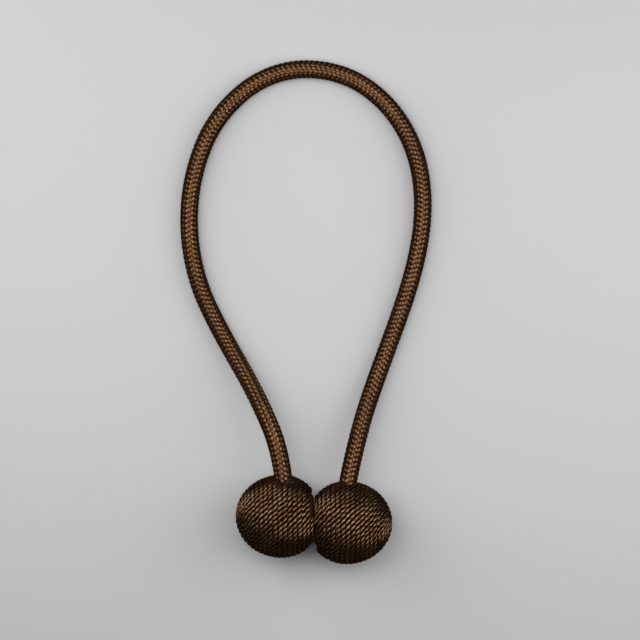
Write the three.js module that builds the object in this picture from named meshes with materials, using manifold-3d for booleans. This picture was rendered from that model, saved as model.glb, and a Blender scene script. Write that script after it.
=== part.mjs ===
// Magnetic curtain tieback: one braided rope bent in a loop, with each end seated in a ball wound with
// cord. The balls meet on their flat magnet faces. The loop lies on the surface z = 0.
// Millimetres, +Z up, +X along the pair of balls, +Y from the balls towards the loop's far end.
import * as THREE from 'three';
import { mergeVertices } from 'three/addons/utils/BufferGeometryUtils.js';
import Module from 'manifold-3d';

const wasm = await Module();
wasm.setup();

// Balls. Each is a little long at its far pole and fuller towards its face, so its radius grows from the
// waist to both ends, and it rests on a small flat spot, where its widest turns are pressed in
const BALL_RADIUS = 16.5;
const BALL_POLE_RISE = 0.65;
const BALL_SHOULDER_RISE = 1.25;
const SHOULDER_START = THREE.MathUtils.degToRad(70);
const SHOULDER_END = THREE.MathUtils.degToRad(140);
const BALL_FACE_DISTANCE = 14.4;
const BALL_FACE_GAP = 0.3;
const BALL_Y_SHIFT = 1.3;
const BALL_CENTRE_HEIGHT = 16.2;

// Winding on a ball: one cord laid in turns about the ball's axis, from the far pole to the face
const WOUND_TURNS = 20;
const WOUND_RELIEF = 0.5;
const ROWS_PER_TURN = 4;
const BALL_SEGMENTS = 24;

// Rope
const ROPE_DIAMETER = 7.3;
const ROPE_SIDES = 12;
const ROPE_STEPS = 44;
const ROPE_CLEARANCE = 0.3;
const SOCKET_SIDES = 20;
const SOCKET_REACH = 14;

// The rope's centre line, from the end inside the left ball round to the end inside the right ball
const ROPE_ROUTE = [
  [-12.2, 14.2, 18.2],
  [-12.6, 19, 18.2],
  [-15.6, 32, 17.1],
  [-20.8, 44.3, 13.5],
  [-27, 56.2, 8.9],
  [-33.9, 68.1, 5.3],
  [-40.4, 80, 3.9],
  [-46.1, 92.5, 3.7],
  [-49.7, 105.5, 3.7],
  [-51.2, 119, 3.7],
  [-50.5, 132.7, 3.7],
  [-47.5, 146, 3.7],
  [-42.1, 158.6, 3.7],
  [-33.7, 169.6, 3.7],
  [-22.8, 178.1, 3.7],
  [-9.9, 182.7, 3.7],
  [3.9, 182.7, 3.7],
  [16.8, 178.6, 3.7],
  [27.9, 170.5, 3.7],
  [36.4, 159.7, 3.7],
  [41.9, 147.1, 3.7],
  [44.3, 133.7, 3.7],
  [44.2, 120, 3.7],
  [42.1, 106.5, 3.7],
  [38.6, 93.3, 3.7],
  [34.3, 80.4, 3.7],
  [29.6, 67.6, 3.9],
  [24.9, 54.8, 5.4],
  [20.5, 42, 8.2],
  [16.9, 29, 11.4],
  [14, 16, 13.4],
  [13.3, 11.4, 13.8],
];

// Worked out from the sizes above
const BALL_CENTRE_X = BALL_FACE_DISTANCE + BALL_FACE_GAP / 2;
const RIM_ANGLE = Math.PI - Math.acos(BALL_FACE_DISTANCE / (BALL_RADIUS + BALL_SHOULDER_RISE));
const ROPE_RADIUS = ROPE_DIAMETER / 2;

const windingFinish = { color: 0x4a3120, roughness: 0.5, metalness: 0 };
const ropeFinish = { color: 0x3a2517, roughness: 0.55, metalness: 0 };

// A closed geometry as a solid, with shared corners merged and empty triangles left out
function toSolid(geometry) {
  const bare = geometry.clone();
  bare.deleteAttribute('normal');
  bare.deleteAttribute('uv');
  const merged = mergeVertices(bare, 1e-4);
  const corners = merged.index.array;
  const kept = [];
  for (let i = 0; i < corners.length; i += 3) {
    const [a, b, c] = [corners[i], corners[i + 1], corners[i + 2]];
    if (a !== b && b !== c && c !== a) {
      kept.push(a, b, c);
    }
  }
  return new wasm.Manifold(new wasm.Mesh({
    numProp: 3,
    vertProperties: new Float32Array(merged.attributes.position.array),
    triVerts: new Uint32Array(kept),
  }));
}

// A solid as a geometry again
function toGeometry(solid) {
  const mesh = solid.getMesh();
  const geometry = new THREE.BufferGeometry();
  geometry.setAttribute('position', new THREE.BufferAttribute(mesh.vertProperties, 3));
  geometry.setIndex(new THREE.BufferAttribute(mesh.triVerts, 1));
  geometry.computeVertexNormals();
  return geometry;
}

// The ball's radius over the crests of its turns, at an angle from its far pole
function ballRadius(polarAngle) {
  const pole = BALL_POLE_RISE * Math.max(0, Math.cos(polarAngle)) ** 3;
  const shoulder = BALL_SHOULDER_RISE * THREE.MathUtils.smoothstep(polarAngle, SHOULDER_START, SHOULDER_END);
  return BALL_RADIUS + pole + shoulder;
}

// The drop below the crests at a place on the winding: the turns run as one spiral from the far pole,
// and flatten out over the first half turn and the last
function windingDrop(polarAngle, aroundAngle) {
  const turn = WOUND_TURNS * polarAngle / RIM_ANGLE;
  const fade = Math.min(1, 2 * turn, 2 * (WOUND_TURNS - turn));
  const wave = 0.5 - 0.5 * Math.cos(2 * Math.PI * turn - aroundAngle);
  return WOUND_RELIEF * fade * wave;
}

// The wound form about +X: a ball with its spiral of turns, cut off by the flat magnet face at +X
function windingForm() {
  const rows = WOUND_TURNS * ROWS_PER_TURN;
  const profile = [];
  for (let row = 0; row <= rows; row += 1) {
    const polar = RIM_ANGLE * row / rows;
    const radius = ballRadius(polar);
    profile.push(new THREE.Vector2(radius * Math.sin(polar), -radius * Math.cos(polar)));
  }
  profile.push(new THREE.Vector2(0, BALL_FACE_DISTANCE));
  const geometry = new THREE.LatheGeometry(profile, BALL_SEGMENTS);
  const place = geometry.attributes.position;
  const point = new THREE.Vector3();
  for (let i = 0; i < place.count; i += 1) {
    point.fromBufferAttribute(place, i);
    const row = i % profile.length;
    if (row < rows) {
      const polar = RIM_ANGLE * row / rows;
      const around = Math.atan2(point.x, point.z);
      point.setLength(ballRadius(polar) - windingDrop(polar, around));
      place.setXYZ(i, point.x, point.y, point.z);
    }
  }
  geometry.rotateZ(-Math.PI / 2);
  return geometry;
}

// The round socket that a rope end sits in, running out of the ball along the rope
function ropeSocket(end, outward) {
  const radius = (ROPE_RADIUS + ROPE_CLEARANCE) / Math.cos(Math.PI / SOCKET_SIDES);
  const geometry = new THREE.CylinderGeometry(radius, radius, SOCKET_REACH, SOCKET_SIDES);
  geometry.translate(0, SOCKET_REACH / 2 - ROPE_CLEARANCE, 0);
  geometry.applyQuaternion(new THREE.Quaternion().setFromUnitVectors(new THREE.Vector3(0, 1, 0), outward));
  geometry.translate(end.x, end.y, end.z);
  return toSolid(geometry);
}

// Everything below the surface that the balls rest on
function belowSurface() {
  const size = 6 * BALL_RADIUS;
  const geometry = new THREE.BoxGeometry(size, size, size);
  geometry.translate(0, 0, -size / 2);
  return toSolid(geometry);
}

// One ball: side is -1 for the left ball and +1 for the right, which is the same ball turned half round
function woundBall(name, side, ropeEnd, outward) {
  const form = windingForm();
  if (side > 0) {
    form.rotateZ(Math.PI);
  }
  form.translate(side * BALL_CENTRE_X, -side * BALL_Y_SHIFT, BALL_CENTRE_HEIGHT);
  const solid = toSolid(form).subtract(belowSurface()).subtract(ropeSocket(ropeEnd, outward));
  const mesh = new THREE.Mesh(toGeometry(solid), new THREE.MeshStandardMaterial(windingFinish));
  mesh.name = name;
  return mesh;
}

// The rope: one round tube along its route
function braidedRope(route) {
  const section = [];
  for (let side = 0; side < ROPE_SIDES; side += 1) {
    const angle = 2 * Math.PI * side / ROPE_SIDES;
    section.push(new THREE.Vector2(ROPE_RADIUS * Math.cos(angle), ROPE_RADIUS * Math.sin(angle)));
  }
  const geometry = new THREE.ExtrudeGeometry(new THREE.Shape(section), {
    steps: ROPE_STEPS,
    extrudePath: route,
    bevelEnabled: false,
  });
  const mesh = new THREE.Mesh(geometry, new THREE.MeshStandardMaterial(ropeFinish));
  mesh.name = 'braided_rope';
  return mesh;
}

const route = new THREE.CatmullRomCurve3(ROPE_ROUTE.map((place) => new THREE.Vector3(...place)));

const tieback = new THREE.Group();
tieback.add(woundBall('wound_ball_left', -1, route.getPoint(0), route.getTangent(0)));
tieback.add(woundBall('wound_ball_right', 1, route.getPoint(1), route.getTangent(1).negate()));
tieback.add(braidedRope(route));

export default tieback;
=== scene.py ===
"""Magnetic curtain tieback: one braided rope bent in a loop, its ends seated in two cord-wound balls.

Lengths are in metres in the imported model's frame: +X along the pair of balls, +Y from the balls to the
far end of the loop, +Z up from the surface that the tieback lies on.
"""

import logging
import math
from dataclasses import dataclass, field
from enum import Enum
from typing import Any, Mapping, Sequence, Union

import bpy
import numpy as np
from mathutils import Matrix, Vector


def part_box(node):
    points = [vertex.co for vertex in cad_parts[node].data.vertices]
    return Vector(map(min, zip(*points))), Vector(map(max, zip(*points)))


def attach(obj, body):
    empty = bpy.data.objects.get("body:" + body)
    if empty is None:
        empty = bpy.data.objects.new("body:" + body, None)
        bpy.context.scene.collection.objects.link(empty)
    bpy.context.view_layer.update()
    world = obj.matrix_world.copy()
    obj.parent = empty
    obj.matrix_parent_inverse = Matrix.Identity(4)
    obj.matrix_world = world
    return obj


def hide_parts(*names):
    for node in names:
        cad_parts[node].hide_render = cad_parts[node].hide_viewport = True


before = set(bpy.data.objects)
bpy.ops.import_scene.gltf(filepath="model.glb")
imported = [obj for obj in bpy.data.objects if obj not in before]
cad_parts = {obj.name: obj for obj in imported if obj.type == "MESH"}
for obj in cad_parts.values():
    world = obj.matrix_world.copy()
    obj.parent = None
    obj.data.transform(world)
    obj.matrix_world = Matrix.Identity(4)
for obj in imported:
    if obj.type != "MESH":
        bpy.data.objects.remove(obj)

MM = 0.001
BODY = "root"
LINE_STEPS = 12
Colour = tuple[float, float, float]
Place = tuple[float, float, float]
log = logging.getLogger("tieback")

# The rope's centre line in metres, from the end inside the left ball round to the end inside the right
ROPE_ROUTE = (
    (-0.0122, 0.0142, 0.0182),
    (-0.0126, 0.0190, 0.0182),
    (-0.0156, 0.0320, 0.0171),
    (-0.0208, 0.0443, 0.0135),
    (-0.0270, 0.0562, 0.0089),
    (-0.0339, 0.0681, 0.0053),
    (-0.0404, 0.0800, 0.0039),
    (-0.0461, 0.0925, 0.0037),
    (-0.0497, 0.1055, 0.0037),
    (-0.0512, 0.1190, 0.0037),
    (-0.0505, 0.1327, 0.0037),
    (-0.0475, 0.1460, 0.0037),
    (-0.0421, 0.1586, 0.0037),
    (-0.0337, 0.1696, 0.0037),
    (-0.0228, 0.1781, 0.0037),
    (-0.0099, 0.1827, 0.0037),
    (0.0039, 0.1827, 0.0037),
    (0.0168, 0.1786, 0.0037),
    (0.0279, 0.1705, 0.0037),
    (0.0364, 0.1597, 0.0037),
    (0.0419, 0.1471, 0.0037),
    (0.0443, 0.1337, 0.0037),
    (0.0442, 0.1200, 0.0037),
    (0.0421, 0.1065, 0.0037),
    (0.0386, 0.0933, 0.0037),
    (0.0343, 0.0804, 0.0037),
    (0.0296, 0.0676, 0.0039),
    (0.0249, 0.0548, 0.0054),
    (0.0205, 0.0420, 0.0082),
    (0.0169, 0.0290, 0.0114),
    (0.0140, 0.0160, 0.0134),
    (0.0133, 0.0114, 0.0138),
)


class Side(Enum):
    """Which ball of the pair, by the x direction from the middle to its centre."""

    LEFT = -1.0
    RIGHT = 1.0

    @property
    def word(self) -> str:
        """The side's name in lower case."""
        return self.name.lower()


class Hand(Enum):
    """Which way a strand turns about its own line, seen along it."""

    RIGHT = 1.0
    LEFT = -1.0

    @property
    def word(self) -> str:
        """The hand's name in lower case."""
        return self.name.lower()


class Beam(Enum):
    """What a lamp lights: the matt side of things, or their sheen."""

    MATT = "matt"
    SHEEN = "sheen"


class Flow:
    """A value on its way through a node tree. Arithmetic on it adds nodes to the tree."""

    def __init__(self, recipe: "Recipe", socket: bpy.types.NodeSocket) -> None:
        """Keeps the tree in the making, and the output that gives the value."""
        self.recipe = recipe
        self.socket = socket

    @property
    def is_vector(self) -> bool:
        """True if the value has three numbers."""
        return self.socket.type == "VECTOR"

    def other(self, gives: str) -> "Flow":
        """Another output of the same node, by name."""
        return Flow(self.recipe, self.socket.node.outputs[gives])

    def __add__(self, other: "Amount") -> "Flow":
        """The sum."""
        return self.recipe.combine("ADD", self, other)

    def __sub__(self, other: "Amount") -> "Flow":
        """The difference."""
        return self.recipe.combine("SUBTRACT", self, other)

    def __rsub__(self, other: "Amount") -> "Flow":
        """The difference, the other way round."""
        return self.recipe.combine("SUBTRACT", other, self)

    def __mul__(self, other: "Amount") -> "Flow":
        """The product, which scales a vector by a number."""
        if self.is_vector and not (isinstance(other, Flow) and other.is_vector):
            return self.recipe.scaled(self, other)
        return self.recipe.combine("MULTIPLY", self, other)

    def __truediv__(self, other: "Amount") -> "Flow":
        """The quotient."""
        return self.recipe.combine("DIVIDE", self, other)

    def __neg__(self) -> "Flow":
        """The value with its sign changed."""
        return self * -1.0

    def sin(self) -> "Flow":
        """The sine of an angle in radians."""
        return self.recipe.combine("SINE", self)

    def cos(self) -> "Flow":
        """The cosine of an angle in radians."""
        return self.recipe.combine("COSINE", self)

    def arccos(self) -> "Flow":
        """The angle in radians that has this cosine."""
        return self.recipe.combine("ARCCOSINE", self)

    def floor(self) -> "Flow":
        """The whole number at or below."""
        return self.recipe.combine("FLOOR", self)


Amount = Union[float, int, Flow]


class Recipe:
    """A node tree in the making."""

    def __init__(self, tree: bpy.types.NodeTree) -> None:
        """Keeps the tree that the nodes are added to."""
        self.tree = tree

    def feed(self, socket: bpy.types.NodeSocket, value: Any) -> None:
        """Links a flow to a socket, or sets the socket's own value.

        Args:
            socket: the input to fill.
            value: a flow or a plain value.
        """
        if isinstance(value, Flow):
            self.tree.links.new(value.socket, socket)
        else:
            socket.default_value = value

    def step(
        self, kind: str, feeds: Mapping[str, Any], gives: Union[str, int] = 0, **settings: Any
    ) -> Flow:
        """Adds one node.

        Args:
            kind: the node's type.
            feeds: the values of its inputs, by name.
            gives: the output wanted, by name or number.
            **settings: the node's own settings.

        Returns:
            The output wanted.
        """
        node = self.tree.nodes.new(kind)
        for key, value in settings.items():
            setattr(node, key, value)
        for name, value in feeds.items():
            self.feed(node.inputs[name], value)
        return Flow(self, node.outputs[gives])

    def combine(self, operation: str, *values: Amount) -> Flow:
        """Adds a maths node for numbers or, where any value is a vector, for vectors.

        Args:
            operation: the node's operation.
            *values: its values in order.

        Returns:
            The result.
        """
        vectors = any(isinstance(value, Flow) and value.is_vector for value in values)
        node = self.tree.nodes.new("ShaderNodeVectorMath" if vectors else "ShaderNodeMath")
        node.operation = operation
        for place, value in enumerate(values):
            self.feed(node.inputs[place], value)
        gives = "Vector" if vectors and operation != "LENGTH" else "Value"
        return Flow(self, node.outputs[gives])

    def scaled(self, vector: Flow, factor: Amount) -> Flow:
        """A vector or a colour times a number."""
        return self.step("ShaderNodeVectorMath", {"Vector": vector, "Scale": factor}, operation="SCALE")

    def vector(self, x: Amount, y: Amount, z: Amount) -> Flow:
        """Three numbers as a vector."""
        return self.step("ShaderNodeCombineXYZ", {"X": x, "Y": y, "Z": z})

    def parts(self, vector: Flow) -> list[Flow]:
        """A vector's three numbers."""
        return [self.step("ShaderNodeSeparateXYZ", {"Vector": vector}, gives=axis) for axis in "XYZ"]

    def graded(
        self, value: Flow, low: Amount, high: Amount, least: float = 0.0, soft: bool = True
    ) -> Flow:
        """How far a value has come from low to high, as a number from the least to 1.

        Args:
            value: the value.
            low: where the result is at its least.
            high: where the result is 1.
            least: the lowest result.
            soft: whether the result starts and ends softly.

        Returns:
            The result.
        """
        return self.step(
            "ShaderNodeMapRange",
            {"Value": value, "From Min": low, "From Max": high, "To Min": least},
            interpolation_type="SMOOTHSTEP" if soft else "LINEAR",
        )


class ShapeRecipe(Recipe):
    """A geometry node tree in the making, with named inputs for its sizes."""

    def __init__(self, name: str) -> None:
        """Starts an empty tree that takes and gives a geometry.

        Args:
            name: the tree's name.
        """
        super().__init__(bpy.data.node_groups.new(name, "GeometryNodeTree"))
        for way in ("INPUT", "OUTPUT"):
            self.tree.interface.new_socket("Geometry", in_out=way, socket_type="NodeSocketGeometry")
        self.entry = self.tree.nodes.new("NodeGroupInput")
        self.exit = self.tree.nodes.new("NodeGroupOutput")
        self.settings: dict[str, Any] = {}

    @property
    def start(self) -> Flow:
        """The geometry that the tree is given."""
        return Flow(self, self.entry.outputs["Geometry"])

    def size(self, name: str, value: Union[float, int, Sequence[float]]) -> Flow:
        """Adds a named input, once, and keeps the value that this object gives it.

        Args:
            name: the input's name.
            value: a whole number, a number or three numbers.

        Returns:
            The input, to build on.
        """
        if name not in self.entry.outputs:
            kind = "Vector"
            if isinstance(value, int):
                kind = "Int"
            elif isinstance(value, float):
                kind = "Float"
            item = self.tree.interface.new_socket(name, in_out="INPUT", socket_type="NodeSocket" + kind)
            self.settings[item.identifier] = value
        return Flow(self, self.entry.outputs[name])

    def sizes(self, owner: Any, *names: str) -> list[Flow]:
        """Adds a named input for each of these sizes of a sub-assembly.

        Args:
            owner: the sub-assembly.
            *names: the sizes' names in it.

        Returns:
            The inputs in that order.
        """
        return [self.size(name.replace("_", " ").title(), getattr(owner, name)) for name in names]

    def cross(self, first: Flow, second: Flow) -> Flow:
        """The cross product."""
        return self.combine("CROSS_PRODUCT", first, second)

    def unit(self, vector: Flow) -> Flow:
        """The vector at length one."""
        return self.combine("NORMALIZE", vector)

    def index(self) -> Flow:
        """Each point's number."""
        return self.step("GeometryNodeInputIndex", {})

    def position(self) -> Flow:
        """Each point's position."""
        return self.step("GeometryNodeInputPosition", {})

    def wander(self, place: Flow, seed: Amount) -> Flow:
        """A smooth random number.

        Args:
            place: where it is read.
            seed: the start of the random draws.

        Returns:
            The number, from -1 to 1.
        """
        feeds = {"Vector": place, "W": seed, "Scale": 1.0, "Detail": 1.0}
        return self.step("ShaderNodeTexNoise", feeds, noise_dimensions="4D") * 2.0 - 1.0

    def points(self, count: Amount) -> Flow:
        """That many points at the origin."""
        return self.step("GeometryNodePoints", {"Count": count})

    def placed(self, geometry: Flow, position: Flow) -> Flow:
        """The geometry with its points at the positions given."""
        return self.step("GeometryNodeSetPosition", {"Geometry": geometry, "Position": position})

    def rested(self, geometry: Flow) -> Flow:
        """The geometry pressed flat where it would reach below the surface that it lies on."""
        x, y, z = self.parts(self.position())
        return self.placed(geometry, self.vector(x, y, self.combine("MAXIMUM", z, 0.0)))

    def noted(self, geometry: Flow, name: str, value: Flow) -> Flow:
        """Keeps a value on a geometry's points.

        Args:
            geometry: the geometry.
            name: the value's name.
            value: a number or a vector.

        Returns:
            The geometry with the value.
        """
        kind = "FLOAT_VECTOR" if value.is_vector else "FLOAT"
        feeds = {"Geometry": geometry, "Name": name, "Value": value}
        return self.step("GeometryNodeStoreNamedAttribute", feeds, data_type=kind)

    def named(self, name: str, kind: str = "FLOAT") -> Flow:
        """The value of that name and kind on each point."""
        return self.step("GeometryNodeInputNamedAttribute", {"Name": name}, data_type=kind)

    def at_point(self, geometry: Flow, value: Flow, number: Flow) -> Flow:
        """Reads a value on one point of a geometry.

        Args:
            geometry: the geometry.
            value: the value to read.
            number: the point's number.

        Returns:
            The value on that point.
        """
        kind = "FLOAT_VECTOR" if value.is_vector else "FLOAT"
        feeds = {"Geometry": geometry, "Value": value, "Index": number}
        return self.step("GeometryNodeSampleIndex", feeds, data_type=kind, domain="POINT")

    def lines(self, points: Flow, group: Amount) -> Flow:
        """The points joined in lines, one for each group."""
        return self.step("GeometryNodePointsToCurves", {"Points": points, "Curve Group ID": group})

    def swept(
        self,
        lines: Flow,
        facing: Flow,
        width: Amount,
        thickness: Amount,
        sides: Amount,
        fullness: Amount = 1.0,
    ) -> Flow:
        """Tubes of an oval section along the lines, with their caps.

        Args:
            lines: the lines to follow.
            facing: the direction in which a tube is thin, on each point.
            width: the section across that direction.
            thickness: the section along it.
            sides: the section's number of sides.
            fullness: the section's share of its size, on each point.

        Returns:
            The tubes as one mesh, which keep each point's place round the section as "round".
        """
        feeds = {"Curve": lines, "Normal": facing}
        turned = self.step("GeometryNodeSetCurveNormal", feeds, mode="FREE")
        ring = self.step("GeometryNodeCurvePrimitiveCircle", {"Resolution": sides, "Radius": 1.0})
        ring = self.noted(ring, "round", self.position())
        section = self.step(
            "GeometryNodeTransform",
            {"Geometry": ring, "Scale": self.vector(thickness * 0.5, width * 0.5, 1.0)},
        )
        return self.step(
            "GeometryNodeCurveToMesh",
            {"Curve": turned, "Profile Curve": section, "Scale": fullness, "Fill Caps": True},
        )

    def crested(self, geometry: Flow, reach: Flow, outer: Amount, depth: Amount) -> Flow:
        """The geometry with "crest" on its points: 1 at its outermost and 0 from a depth inwards.

        Args:
            geometry: the tubes.
            reach: how far each point lies from the middle of what they cover.
            outer: that distance at the outermost points.
            depth: how far inwards the crest falls to 0.

        Returns:
            The geometry with the value on its points, by which the finish paints shade in the hollows.
        """
        return self.noted(geometry, "crest", 1.0 - (outer - reach) / depth)

    def finish(self, geometry: Flow, material: bpy.types.Material) -> None:
        """Ends the tree: plain mesh, smooth faces and the finish.

        Args:
            geometry: what the tree has made.
            material: the finish of all of it.
        """
        plain = self.step("GeometryNodeRealizeInstances", {"Geometry": geometry})
        smooth = self.step("GeometryNodeSetShadeSmooth", {"Geometry": plain, "Shade Smooth": True})
        dressed = self.step("GeometryNodeSetMaterial", {"Geometry": smooth, "Material": material})
        self.feed(self.exit.inputs["Geometry"], dressed)

    def cook(self, name: str, seed_mesh: bpy.types.Mesh) -> bpy.types.Object:
        """Runs the tree on a mesh and keeps the result as a plain mesh object.

        Args:
            name: the piece's name.
            seed_mesh: the mesh that the tree is given.

        Returns:
            The finished piece, at the origin.
        """
        carrier = shown(name + "_carrier", seed_mesh)
        modifier = carrier.modifiers.new("shape", "NODES")
        modifier.node_group = self.tree
        for identifier, value in self.settings.items():
            modifier[identifier] = value
        graph = bpy.context.evaluated_depsgraph_get()
        mesh = bpy.data.meshes.new_from_object(carrier.evaluated_get(graph), depsgraph=graph)
        carrier.modifiers.remove(modifier)
        bpy.data.objects.remove(carrier)
        mesh.name = name
        return shown(name, mesh)


class FinishRecipe(Recipe):
    """A material's node tree in the making."""

    def __init__(self, name: str) -> None:
        """Starts a material.

        Args:
            name: the material's name.
        """
        self.made = bpy.data.materials.new(name)
        self.made.use_nodes = True
        super().__init__(self.made.node_tree)

    def mark(self, name: str, gives: str = "Fac") -> Flow:
        """The value of that name that the mesh carries."""
        return self.step("ShaderNodeAttribute", {}, gives=gives, attribute_name=name)

    def place(self) -> Flow:
        """Each point's place in the piece's own frame."""
        return self.step("ShaderNodeTexCoord", {}, gives="Object")

    def speckle(self, place: Flow, scale: float, detail: float) -> Flow:
        """Soft noise from 0 to 1, read at a place."""
        return self.step("ShaderNodeTexNoise", {"Vector": place, "Scale": scale, "Detail": detail})

    def blend(self, share: Flow, first: Colour, second: Colour) -> Flow:
        """The colour at a share of the way from the first to the second."""
        feeds = {"Factor": share, "A": (*first, 1.0), "B": (*second, 1.0)}
        return self.step("ShaderNodeMix", feeds, gives="Result", data_type="RGBA")

    def dressed(self, feeds: Mapping[str, Any]) -> bpy.types.Material:
        """Fills the shader's inputs.

        Args:
            feeds: flows or plain values, by the inputs' names.

        Returns:
            The material.
        """
        shader = self.tree.nodes["Principled BSDF"]
        for name, value in feeds.items():
            self.feed(shader.inputs[name], value)
        return self.made


def shown(name: str, data: Any) -> bpy.types.Object:
    """Puts a mesh, a lamp or a camera in the scene.

    Args:
        name: the object's name.
        data: what the object shows.

    Returns:
        The object, at the origin.
    """
    made = bpy.data.objects.new(name, data)
    bpy.context.scene.collection.objects.link(made)
    return made


def rope_line(route: Sequence[Place], steps: int) -> np.ndarray:
    """The smooth line through a route's points, as close points.

    Args:
        route: the points that the line passes through.
        steps: how many points the line has between two of them.

    Returns:
        The line's points, one row each.
    """
    given = np.array(route, float)
    first = 2 * given[0] - given[1]
    last = 2 * given[-1] - given[-2]
    held = np.vstack([first, given, last])
    knots = np.concatenate([[0.0], np.cumsum(np.sqrt(np.linalg.norm(np.diff(held, axis=0), axis=1)))])
    line = []
    for i in range(1, len(held) - 2):
        span = knots[i + 1] - knots[i]
        leave = slope_at(held, knots, i) * span
        arrive = slope_at(held, knots, i + 1) * span
        for t in np.linspace(0.0, 1.0, steps, endpoint=False):
            line.append(eased(held[i], held[i + 1], leave, arrive, t))
    line.append(given[-1])
    return np.array(line)


def slope_at(held: np.ndarray, knots: np.ndarray, i: int) -> np.ndarray:
    """The line's direction and speed at one of its points, from the points beside it.

    Args:
        held: the points.
        knots: the line's clock at each point.
        i: the point's number.

    Returns:
        The speed as a vector.
    """
    before = (held[i] - held[i - 1]) / (knots[i] - knots[i - 1])
    across = (held[i + 1] - held[i - 1]) / (knots[i + 1] - knots[i - 1])
    after = (held[i + 1] - held[i]) / (knots[i + 1] - knots[i])
    return before - across + after


def eased(
    start: np.ndarray, end: np.ndarray, leave: np.ndarray, arrive: np.ndarray, t: float
) -> np.ndarray:
    """A point on a cubic between two points.

    Args:
        start: the first point.
        end: the second point.
        leave: the speed at the first.
        arrive: the speed at the second.
        t: the share of the way.

    Returns:
        The point at that share.
    """
    a = 2 * t**3 - 3 * t**2 + 1
    b = t**3 - 2 * t**2 + t
    c = -2 * t**3 + 3 * t**2
    d = t**3 - t**2
    return a * start + b * leave + c * end + d * arrive


def line_mesh(name: str, line: np.ndarray) -> bpy.types.Mesh:
    """A mesh of points joined in one open line.

    Args:
        name: the mesh's name.
        line: the points, one row each.

    Returns:
        The mesh.
    """
    mesh = bpy.data.meshes.new(name)
    edges = [(i, i + 1) for i in range(len(line) - 1)]
    mesh.from_pydata([tuple(point) for point in line], edges, [])
    return mesh


def turned_mesh(
    name: str, profile: Sequence[tuple[float, float]], segments: int, facing: float, centre: Vector
) -> bpy.types.Mesh:
    """A closed mesh turned about the x axis through a centre.

    Args:
        name: the mesh's name.
        profile: each ring's distance along the axis and from it, from pole to pole.
        segments: the number of sides.
        facing: the x direction in which the profile runs, 1 or -1.
        centre: where the profile's origin lies.

    Returns:
        The mesh.
    """
    angles = [math.tau * i / segments for i in range(segments)]
    spots = [(x, r * math.sin(a), r * math.cos(a)) for x, r in profile[1:-1] for a in angles]
    spots += [(profile[0][0], 0.0, 0.0), (profile[-1][0], 0.0, 0.0)]
    last_ring = (len(profile) - 3) * segments
    first_pole = last_ring + segments
    faces: list[tuple[int, ...]] = []
    for low in range(0, last_ring, segments):
        for i in range(segments):
            j = (i + 1) % segments
            faces.append((low + i, low + j, low + segments + j, low + segments + i))
    for i in range(segments):
        j = (i + 1) % segments
        faces.append((first_pole, j, i))
        faces.append((first_pole + 1, last_ring + i, last_ring + j))
    mesh = bpy.data.meshes.new(name)
    placed = [tuple(Vector((x * facing, y * facing, z)) + centre) for x, y, z in spots]
    mesh.from_pydata(placed, [], faces)
    return mesh


@dataclass(frozen=True)
class SilkyYarn:
    """A finish of shiny filaments, laid along a strand or wrapped round it.

    Its colour goes from the shade to the glow; painted shade darkens it where a strand dips ("crest" 0).
    """

    name: str
    shade: Colour
    glow: Colour
    coat: float
    crest_low: float
    crest_high: float
    crest_shade: float
    filament_twist: float = 0.0
    filament_scale: float = 3.2
    filament_detail: float = 3.0
    filament_stretch: float = 0.35
    filament_relief: float = 0.05 * MM
    patch_scale: float = 160.0
    patch_detail: float = 2.0
    blend_low: float = 0.12
    blend_high: float = 0.42
    metallic: float = 0.94
    roughness: float = 0.42
    edge_shine: float = 0.05
    specular: float = 0.5
    coat_roughness: float = 0.4
    anisotropic: float = 0.9
    across_the_fibre: float = 0.25

    def material(self) -> bpy.types.Material:
        """The finish as a material.

        Returns:
            A material whose filaments follow the strand, and whose shine lies across them.
        """
        recipe = FinishRecipe(self.name)
        along = recipe.mark("along")
        turned = recipe.step(
            "ShaderNodeVectorRotate",
            {"Vector": recipe.mark("round", "Vector"), "Angle": along * self.filament_twist},
            rotation_type="Z_AXIS",
        )
        spot = turned + recipe.vector(0.0, 0.0, along * self.filament_stretch)
        filaments = recipe.speckle(spot, self.filament_scale, self.filament_detail)
        patches = recipe.speckle(recipe.place(), self.patch_scale, self.patch_detail)
        share = recipe.graded(filaments * patches, self.blend_low, self.blend_high, soft=False)
        colour = recipe.blend(share, self.shade, self.glow)
        # Painted shade: the colour is darkened where "crest" is low, in the dips and grooves between
        # strands.
        painted_dip_shade = recipe.graded(recipe.mark("crest"), self.crest_low, self.crest_high, self.crest_shade)
        relief = {"Strength": 1.0, "Distance": self.filament_relief, "Height": filaments}
        return recipe.dressed(
            {
                "Base Color": recipe.scaled(colour, painted_dip_shade),
                "Normal": recipe.step("ShaderNodeBump", relief),
                "Tangent": recipe.mark("fibre", "Vector"),
                "Metallic": self.metallic,
                "Roughness": self.roughness,
                "Specular Tint": (self.edge_shine, self.edge_shine, self.edge_shine, 1.0),
                "Specular IOR Level": self.specular,
                "Coat Weight": self.coat,
                "Coat Roughness": self.coat_roughness,
                "Anisotropic": self.anisotropic,
                "Anisotropic Rotation": self.across_the_fibre,
            }
        )


@dataclass(frozen=True)
class PlainFinish:
    """A matt finish with a faint mottle."""

    name: str
    dark: Colour
    light: Colour
    mottle_scale: float
    roughness: float
    specular: float
    mottle_detail: float = 3.0

    def material(self) -> bpy.types.Material:
        """The finish as a material.

        Returns:
            The material, mottled between the dark and the light.
        """
        recipe = FinishRecipe(self.name)
        mottle = recipe.speckle(recipe.place(), self.mottle_scale, self.mottle_detail)
        return recipe.dressed(
            {
                "Base Color": recipe.blend(mottle, self.dark, self.light),
                "Roughness": self.roughness,
                "Specular IOR Level": self.specular,
            }
        )


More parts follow.
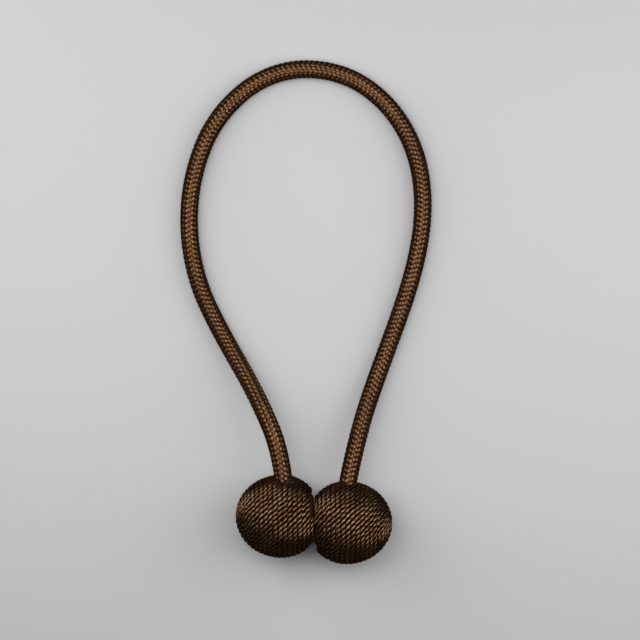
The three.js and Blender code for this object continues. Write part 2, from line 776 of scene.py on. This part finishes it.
ROPE_YARN = SilkyYarn(
    "braided_yarn",
    shade=(0.108, 0.051, 0.022),
    glow=(0.147, 0.076, 0.035),
    coat=0.02,
    crest_low=0.1,
    crest_high=0.9,
    crest_shade=0.35,
)
WOUND_YARN = SilkyYarn(
    "wound_cord",
    shade=(0.095, 0.039, 0.014),
    glow=(0.272, 0.158, 0.079),
    coat=0.04,
    crest_low=0.25,
    crest_high=0.85,
    crest_shade=0.15,
    filament_twist=-1.0,
)
# Near-black, so that the cores under the turns and strands show as painted shade in the gaps
DARK_GROUND = PlainFinish(
    "dark_ground",
    dark=(0.013, 0.0055, 0.003),
    light=(0.022, 0.0095, 0.005),
    mottle_scale=900.0,
    roughness=0.9,
    specular=0.05,
)
PALE_SURFACE = PlainFinish(
    "pale_surface",
    dark=(0.30, 0.30, 0.30),
    light=(0.305, 0.305, 0.305),
    mottle_scale=6.0,
    roughness=0.8,
    specular=0.2,
)


def seat(piece: bpy.types.Object, slot: str, *nodes: str) -> bpy.types.Object:
    """Fixes a finished piece to the object's one body.

    Args:
        piece: the finished piece.
        slot: a material slot's name; not used.
        *nodes: the solids that it stands for.

    Returns:
        The piece.
    """
    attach(piece, BODY)
    if nodes:
        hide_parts(*nodes)
    log.info("%s: %d faces", piece.name, len(piece.data.polygons))
    return piece


@dataclass(frozen=True)
class BallProfile:
    """A ball's radius over its turns: a little long at the far pole and fuller towards the face."""

    waist: float = 16.5 * MM
    pole_rise: float = 0.65 * MM
    shoulder_rise: float = 1.25 * MM
    shoulder_start: float = math.radians(70.0)
    shoulder_end: float = math.radians(140.0)
    angles_tried: int = 721

    def radius(self, polar: float) -> float:
        """The radius at an angle from the far pole, by the same curves as in flow().

        Args:
            polar: the angle in radians.

        Returns:
            The radius.
        """
        share = (polar - self.shoulder_start) / (self.shoulder_end - self.shoulder_start)
        share = min(1.0, max(0.0, share))
        pole = self.pole_rise * max(0.0, math.cos(polar)) ** 3
        return self.waist + pole + self.shoulder_rise * share * share * (3.0 - 2.0 * share)

    @property
    def widest(self) -> float:
        """The largest distance from the ball's axis."""
        angles = np.linspace(0.0, math.pi, self.angles_tried)
        return max(self.radius(polar) * math.sin(polar) for polar in angles)

    def flow(self, recipe: ShapeRecipe, direction: Flow, facing: Flow) -> Flow:
        """The radius in a direction, in a node tree.

        Args:
            recipe: the tree in the making.
            direction: a direction from the ball's centre, of length one.
            facing: the x direction of the flat face, 1 or -1.

        Returns:
            The radius.
        """
        waist, pole_rise, shoulder_rise = recipe.sizes(self, "waist", "pole_rise", "shoulder_rise")
        start, end = recipe.sizes(self, "shoulder_start", "shoulder_end")
        level = -(recipe.parts(direction)[0] * facing)
        shoulder = recipe.graded(level.arccos(), start, end)
        pole = recipe.combine("MAXIMUM", level, 0.0)
        return waist + pole_rise * (pole * pole * pole) + shoulder_rise * shoulder


@dataclass
class WoundBall:
    """A ball wound with twisted cord about the axis of its flat magnet face.

    The turns stray a little, by smooth random numbers. Under them, the dark ground paints shade in the
    gaps.
    """

    side: Side
    rope_mouth: Vector
    finish: bpy.types.Material
    ground_finish: bpy.types.Material
    profile: BallProfile = BallProfile()
    face_distance: float = 14.4 * MM
    face_fill: float = 0.14 * MM
    turns: float = 20.0
    first_angle: float = math.radians(2.5)
    last_angle: float = math.radians(143.2)
    strokes_round_middle: float = 46.0
    stroke_shift: float = 0.06
    plies: int = 3
    offset_sideways: float = 0.95 * MM
    offset_upward: float = 0.75 * MM
    ply_width: float = 1.05 * MM
    ply_thickness: float = 0.80 * MM
    filament_shift: float = 37.0
    samples: int = 3900
    sides: int = 8
    parting: float = 4.0 * MM
    parting_fall: float = 1.1
    seed: float = 3.0
    stray_round: float = 1.3
    stray_across: float = 0.9
    slack: float = 0.09 * MM
    slack_scale: float = 1.7
    slack_seed: float = 5.0
    uneven_lay: float = 1.3
    lay_scale: float = 1.4
    lay_seed: float = 9.0
    crest_depth: float = 0.85 * MM
    ground_depth: float = 0.25 * MM
    ground_rings: int = 40
    ground_segments: int = 64
    rim_setback: float = 0.1 * MM
    rim_drop: float = 0.05 * MM
    rim_narrowing: float = 0.15 * MM
    face_narrowing: float = 0.4 * MM
    box: tuple[Vector, Vector] = field(init=False)

    def __post_init__(self) -> None:
        """Reads the ball's place from its solid."""
        self.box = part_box(self.node)

    @property
    def node(self) -> str:
        """The name of the ball's solid."""
        return f"wound_ball_{self.side.word}"

    @property
    def line_depth(self) -> float:
        """How far the cord's middle lies under the ball's outer surface."""
        return self.offset_upward + self.ply_thickness / 2

    @property
    def face_reach(self) -> float:
        """How far the face lies from the centre once the gap to the other ball's is filled."""
        return self.face_distance + self.face_fill

    @property
    def slack_angle(self) -> float:
        """How far a turn strays along the ball, as an angle: twice as far as it strays outwards."""
        return 2.0 * self.slack / self.profile.waist

    @property
    def centre(self) -> Vector:
        """The ball's centre, from the flat face, the front and the top of its solid.

        Returns:
            The centre.
        """
        low, high = self.box
        x = low.x + self.face_distance if self.side is Side.RIGHT else high.x - self.face_distance
        return Vector((x, low.y + self.profile.widest, high.z - self.profile.widest))

    def winding(self) -> bpy.types.Object:
        """The cord's plies, wound in one spiral from the far pole to the rim of the flat face.

        Returns:
            The plies as one piece.
        """
        recipe = ShapeRecipe("wound_cord")
        centre = recipe.size("Centre", tuple(self.centre))
        facing = recipe.size("Facing", -self.side.value)
        mouth = recipe.size("Rope Mouth", tuple(self.rope_mouth))
        middle_radius = recipe.size("Mean Line Radius", self.profile.waist - self.line_depth)
        seed = recipe.size("Seed", self.seed + self.side.value)
        turns, first, last = recipe.sizes(self, "turns", "first_angle", "last_angle")
        strokes, shift = recipe.sizes(self, "strokes_round_middle", "stroke_shift")
        samples, plies, sides = recipe.sizes(self, "samples", "plies", "sides")
        sideways, upward = recipe.sizes(self, "offset_sideways", "offset_upward")
        width, thickness = recipe.sizes(self, "ply_width", "ply_thickness")
        slack, slack_angle, uneven_lay = recipe.sizes(self, "slack", "slack_angle", "uneven_lay")
        parting, face = recipe.sizes(self, "parting", "face_reach")
        line_depth, crest_depth = recipe.sizes(self, "line_depth", "crest_depth")

        # The cord's middle line as one spiral, with the angle of its twist as "phase"
        share = recipe.index() / (samples - 1)
        polar = (first.cos() - (first.cos() - last.cos()) * share).arccos()
        turn = turns * (polar - first) / (last - first)
        whole = (turn + 0.5).floor()
        around = (turn - whole) * math.tau
        steady = first + (last - first) * whole / turns
        stroke_count = recipe.combine("ROUND", strokes * steady.sin()) + shift
        stray_place = recipe.vector(
            around.sin() * self.stray_round, around.cos() * self.stray_round, turn * self.stray_across
        )
        phase = (around * stroke_count + whole * shift * math.tau) / plies
        phase = phase + recipe.wander(stray_place * self.lay_scale, seed + self.lay_seed) * uneven_lay
        polar_loose = polar + recipe.wander(stray_place, seed) * slack_angle
        outward = recipe.vector(
            -(polar_loose.cos()) * facing,
            polar_loose.sin() * around.sin() * facing,
            polar_loose.sin() * around.cos(),
        )
        on_line = centre + outward * (self.profile.flow(recipe, outward, facing) - line_depth)
        parted = self.parted(recipe, on_line, centre, mouth, parting)
        line_points = recipe.placed(recipe.points(samples), parted)
        direction = recipe.unit(recipe.position() - centre)
        loose = recipe.wander(stray_place * self.slack_scale, seed + self.slack_seed) * slack
        settled = self.profile.flow(recipe, direction, facing) - line_depth + loose
        line_points = recipe.placed(line_points, centre + direction * settled)
        cord = recipe.lines(recipe.noted(line_points, "phase", phase), 0)

        # The plies, twisted round that line in an oval
        number = recipe.index()
        ply = (number / samples).floor()
        step = number - ply * samples
        tangent = recipe.step("GeometryNodeInputTangent", {})
        spot = recipe.at_point(cord, recipe.position(), step)
        ahead = recipe.at_point(cord, tangent, step)
        lay_angle = recipe.at_point(cord, recipe.named("phase"), step) + ply * math.tau / plies
        up = recipe.unit(spot - centre)
        beside = recipe.unit(recipe.cross(ahead, up))
        aside = up * (lay_angle.cos() * upward) + beside * (lay_angle.sin() * sideways)
        strand_points = recipe.placed(recipe.points(samples * plies), spot + aside)
        away = up * (lay_angle.cos() * sideways) + beside * (lay_angle.sin() * upward)
        length = middle_radius * (first.cos() - last.cos()) * turns / (last - first) * math.tau
        along = step / samples * length / MM + ply * self.filament_shift
        for name, value in (("facing", away), ("fibre", ahead), ("along", along)):
            strand_points = recipe.noted(strand_points, name, value)
        strands = recipe.lines(strand_points, ply)
        tubes = recipe.swept(strands, recipe.named("facing", "FLOAT_VECTOR"), width, thickness, sides)
        # Painted shade: "crest" falls inwards from the outer surface, so the finish darkens the grooves
        arm = recipe.position() - centre
        outer = self.profile.flow(recipe, recipe.unit(arm), facing)
        tubes = recipe.crested(tubes, recipe.combine("LENGTH", arm), outer, crest_depth)
        recipe.finish(self.pressed(recipe, tubes, centre, facing, face), self.finish)
        return recipe.cook(f"wound_cord_{self.side.word}", bpy.data.meshes.new("empty"))

    def parted(self, recipe: ShapeRecipe, place: Flow, centre: Flow, mouth: Flow, parting: Flow) -> Flow:
        """The cord's line pushed aside where the rope goes in between its turns.

        Args:
            recipe: the tree in the making.
            place: the cord's line as wound.
            centre: the ball's centre.
            mouth: where the rope meets the ball.
            parting: how far from the rope's middle the nearest turn lies.

        Returns:
            The line's places, still to be drawn back to the ball's surface.
        """
        beside, _, above = recipe.parts(place - mouth)
        front = recipe.combine("GREATER_THAN", recipe.parts(place - centre)[1], 0.0)
        level = above / parting
        pull = recipe.combine("EXPONENT", level * level * -self.parting_fall) * front
        spread = recipe.combine("SQRT", beside * beside + parting * parting * pull)
        moved = recipe.combine("SIGN", beside) * spread - beside
        return place + recipe.vector(moved, 0.0, 0.0)

    def pressed(self, recipe: ShapeRecipe, tubes: Flow, centre: Flow, facing: Flow, face: Flow) -> Flow:
        """The tubes pressed flat where the ball rests, and at the flat face.

        Args:
            recipe: the tree in the making.
            tubes: the plies' tubes.
            centre: the ball's centre.
            facing: the x direction of the flat face, 1 or -1.
            face: how far from the centre the tubes may reach that way.

        Returns:
            The pressed tubes.
        """
        x, y, z = recipe.parts(recipe.position())
        middle = recipe.parts(centre)[0]
        held = recipe.combine("MINIMUM", (x - middle) * facing, face)
        return recipe.rested(recipe.placed(tubes, recipe.vector(middle + held * facing, y, z)))

    def ground(self) -> bpy.types.Object:
        """The dark form under the turns, with the flat face that meets the other ball.

        Returns:
            The form as one piece, whose dark colour is painted shade where it shows between the turns.
        """
        drop = self.line_depth + self.ground_depth
        face = self.face_reach
        under = self.profile.radius(math.pi) - drop
        rim_angle = math.pi - math.acos((face - self.rim_setback) / under)
        profile = []
        for polar in np.linspace(0.0, rim_angle, self.ground_rings):
            radius = self.profile.radius(polar) - drop
            profile.append((-radius * math.cos(polar), radius * math.sin(polar)))
        rim = profile[-1][1]
        profile.append((face - self.rim_drop, rim - self.rim_narrowing))
        profile += [(face, rim - self.face_narrowing), (face, 0.0)]
        name = f"ball_ground_{self.side.word}"
        mesh = turned_mesh(name, profile, self.ground_segments, -self.side.value, self.centre)
        mesh.materials.append(self.ground_finish)
        return shown(name, mesh)

    def build(self) -> None:
        """Makes and seats the winding and the ground under it."""
        seat(self.winding(), "wound_cord", self.node)
        seat(self.ground(), "wound_cord")


@dataclass
class BraidedRope:
    """The rope: strands of two hands that pass over two and under two of each other.

    A strand rises and dips in a wave on its way round, and strays a little by smooth random numbers.
    """

    line: np.ndarray
    finish: bpy.types.Material
    ground_finish: bpy.types.Material
    diameter: float = 7.3 * MM
    strands_each_way: int = 14
    stitch_length: float = 2.0 * MM
    strand_width: float = 1.4 * MM
    strand_thickness: float = 0.72 * MM
    relief: float = 0.22 * MM
    relief_inside: float = 0.6
    waves_per_strand: float = 0.5
    wave_start: float = math.pi / 4
    filament_lean: float = math.radians(39.0)
    filament_stretch: float = 1.35
    filament_shift: float = 53.0
    pinch: float = 0.2
    hand_bias: float = 0.08
    hand_fullness: float = 0.5
    samples: int = 800
    sides: int = 8
    filling_sides: int = 20
    drift: float = 9.0
    seed: float = 11.0
    stray_along: float = 90.0
    stray_across: float = 1.7
    stray_turn: float = 0.02
    stray_height: float = 0.04 * MM
    node: str = "braided_rope"

    @property
    def length(self) -> float:
        """The rope's length along its middle."""
        return float(np.linalg.norm(np.diff(self.line, axis=0), axis=1).sum())

    @property
    def turn_length(self) -> float:
        """How far along the rope a strand goes in one turn."""
        return self.strands_each_way * self.stitch_length

    @property
    def middle_radius(self) -> float:
        """How far from the rope's middle a strand lies halfway between its lowest and its highest."""
        return self.diameter / 2 - self.strand_thickness / 2 - self.relief * self.relief_inside

    def strand_set(self, hand: Hand) -> bpy.types.Object:
        """All the strands that turn one way round the rope.

        Args:
            hand: the way that they turn.

        Returns:
            The strands as one piece.
        """
        recipe = ShapeRecipe("braid_strands")
        turning = recipe.size("Hand", hand.value)
        seed = recipe.size("Seed", self.seed + hand.value)
        # Hand bias: painted sheen on one hand's strands and painted shade on the other's; it sets
        # fullness too
        bias = recipe.size("Hand Bias", self.hand_bias * hand.value)
        count, samples, sides = recipe.sizes(self, "strands_each_way", "samples", "sides")
        middle_radius, turn_length = recipe.sizes(self, "middle_radius", "turn_length")
        width, thickness = recipe.sizes(self, "strand_width", "strand_thickness")
        relief, pinch = recipe.sizes(self, "relief", "pinch")
        drift, lean = recipe.sizes(self, "drift", "filament_lean")

        # Where each point lies along the rope, and the directions there
        rope = recipe.step("GeometryNodeMeshToCurve", {"Mesh": recipe.start})
        rope_length = recipe.step("GeometryNodeCurveLength", {"Curve": rope})
        number = recipe.index()
        strand = (number / samples).floor()
        step = number - strand * samples
        travelled = step / (samples - 1) * rope_length
        reading = {"Curves": rope, "Length": travelled}
        spot = recipe.step("GeometryNodeSampleCurve", reading, gives="Position", mode="LENGTH")
        ahead = spot.other("Tangent")
        beside = recipe.unit(recipe.cross(recipe.vector(0.0, 0.0, 1.0), ahead))
        above = recipe.cross(ahead, beside)

        # The strands, turned round the rope and rising over the other hand's
        pattern = strand / count * math.tau + turning * travelled / turn_length * math.tau
        wave = (pattern * (count * self.waves_per_strand) - self.wave_start).cos()
        rise = turning * wave
        stray_place = recipe.vector(travelled * self.stray_along, strand * self.stray_across, turning)
        stray = recipe.wander(stray_place, seed)
        turned = pattern + travelled * drift + stray * self.stray_turn
        out = beside * turned.cos() + above * turned.sin()
        reach = middle_radius + relief * rise + stray * self.stray_height
        sideways = above * turned.cos() - beside * turned.sin()
        # Painted shade: "crest" darkens a strand where it dips under the other hand's
        notes = {
            "facing": out,
            "fibre": ahead * lean.cos() + sideways * (turning * lean.sin()),
            "along": travelled / MM * self.filament_stretch + strand * self.filament_shift,
            "crest": rise * 0.5 + 0.5 + bias,
            "fullness": 1.0 - pinch * (1.0 - wave * wave) + bias * self.hand_fullness,
        }
        points = recipe.placed(recipe.points(samples * count), spot + out * reach)
        for name, value in notes.items():
            points = recipe.noted(points, name, value)
        strands = recipe.lines(points, strand)
        facing = recipe.named("facing", "FLOAT_VECTOR")
        tubes = recipe.swept(strands, facing, width, thickness, sides, recipe.named("fullness"))
        recipe.finish(recipe.rested(tubes), self.finish)
        return recipe.cook(f"braid_strands_{hand.word}_hand", line_mesh("rope_line", self.line))

    def filling(self) -> bpy.types.Object:
        """The dark tube that shows between the strands.

        Returns:
            The tube as one piece, whose dark colour is painted shade in the gaps between the strands.
        """
        recipe = ShapeRecipe("rope_filling")
        radius = self.diameter / 2 - self.strand_thickness - self.relief
        width = recipe.size("Width", 2.0 * radius)
        sides = recipe.size("Sides", self.filling_sides)
        rope = recipe.step("GeometryNodeMeshToCurve", {"Mesh": recipe.start})
        tube = recipe.swept(rope, recipe.vector(0.0, 0.0, 1.0), width, width, sides)
        recipe.finish(tube, self.ground_finish)
        return recipe.cook("rope_filling", line_mesh("filling_line", self.line))

    def build(self) -> None:
        right = seat(self.strand_set(Hand.RIGHT), "braided_yarn", self.node)
        left = seat(self.strand_set(Hand.LEFT), "braided_yarn")
        filling = seat(self.filling(), "braided_yarn")


@dataclass(frozen=True)
class Lamp:
    """A soft oblong lamp. Its width and depth are in metres, and its power in watts."""

    name: str
    place: Place
    width: float
    depth: float
    power: float
    beam: Beam = Beam.MATT

    def hang(self, aim: Place) -> None:
        """Hangs the lamp.

        Args:
            aim: the point that it shines at.
        """
        data = bpy.data.lights.new(self.name, "AREA")
        data.shape = "RECTANGLE"
        data.size = self.width
        data.size_y = self.depth
        data.energy = self.power
        lamp = shown(self.name, data)
        lamp.location = self.place
        lamp.rotation_euler = (Vector(aim) - Vector(self.place)).to_track_quat("-Z", "Y").to_euler()
        lamp.visible_glossy = self.beam is Beam.SHEEN
        lamp.visible_diffuse = self.beam is Beam.MATT


LAMPS = (
    Lamp("right_lamp", place=(0.35, 0.14, 0.31), width=0.41, depth=0.55, power=2.9),
    Lamp("left_lamp", place=(-0.33, 0.22, 0.27), width=0.37, depth=0.60, power=2.54),
    Lamp("top_lamp", place=(-0.05, 0.12, 0.50), width=0.3, depth=0.3, power=2.03),
    Lamp("sheen_lamp", place=(0.03, 0.17, 0.50), width=0.75, depth=0.25, power=4.2, beam=Beam.SHEEN),
)


@dataclass(frozen=True)
class Studio:
    """The pale surface, the soft light and the camera above."""

    camera_place: Place = (2.42 * MM, 80.45 * MM, 800 * MM)
    view_width: float = 262.4 * MM
    view_height: float = 3.6 * MM
    nearest_seen: float = 0.01
    floor_size: float = 4.0
    lamps: tuple[Lamp, ...] = LAMPS
    lamp_aim: Place = (0.0, 0.08, 0.0)
    sky_colour: Colour = (0.95, 0.97, 1.0)
    sky_strength: float = 0.065

    def camera(self) -> None:
        """Looks straight down on the loop, as wide as the photograph."""
        data = bpy.data.cameras.new("camera")
        reach = self.camera_place[2] - self.view_height
        data.angle = 2 * math.atan(self.view_width / 2 / reach)
        data.clip_start = self.nearest_seen
        eye = shown("camera", data)
        eye.location = self.camera_place
        bpy.context.scene.camera = eye

    def floor(self, finish: bpy.types.Material) -> None:
        """The surface that the tieback lies on.

        Args:
            finish: its finish.
        """
        half = self.floor_size / 2
        mesh = bpy.data.meshes.new("floor")
        corners = [(-half, -half, 0.0), (half, -half, 0.0), (half, half, 0.0), (-half, half, 0.0)]
        mesh.from_pydata(corners, [], [(0, 1, 2, 3)])
        mesh.materials.append(finish)
        surface = shown("floor", mesh)
        surface.visible_glossy = False

    def light(self) -> None:
        """Hangs the lamps, under an even pale light from all round."""
        for lamp in self.lamps:
            lamp.hang(self.lamp_aim)
        world = bpy.data.worlds.new("sky")
        world.use_nodes = True
        background = world.node_tree.nodes["Background"]
        background.inputs["Color"].default_value = (*self.sky_colour, 1.0)
        background.inputs["Strength"].default_value = self.sky_strength
        bpy.context.scene.world = world


def main() -> None:
    """Builds the tieback and its studio."""
    logging.basicConfig(level=logging.INFO, format="%(name)s %(message)s")
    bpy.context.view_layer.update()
    studio = Studio()
    studio.camera()
    bpy.context.scene.view_settings.view_transform = "Standard"

    rope_yarn = ROPE_YARN.material()
    wound_yarn = WOUND_YARN.material()
    ground = DARK_GROUND.material()
    line = rope_line(ROPE_ROUTE, LINE_STEPS)
    BraidedRope(line, rope_yarn, ground).build()
    WoundBall(Side.LEFT, Vector(ROPE_ROUTE[1]), wound_yarn, ground).build()
    WoundBall(Side.RIGHT, Vector(ROPE_ROUTE[-2]), wound_yarn, ground).build()

    studio.floor(PALE_SURFACE.material())
    studio.light()


if __name__ == "__main__":
    main()
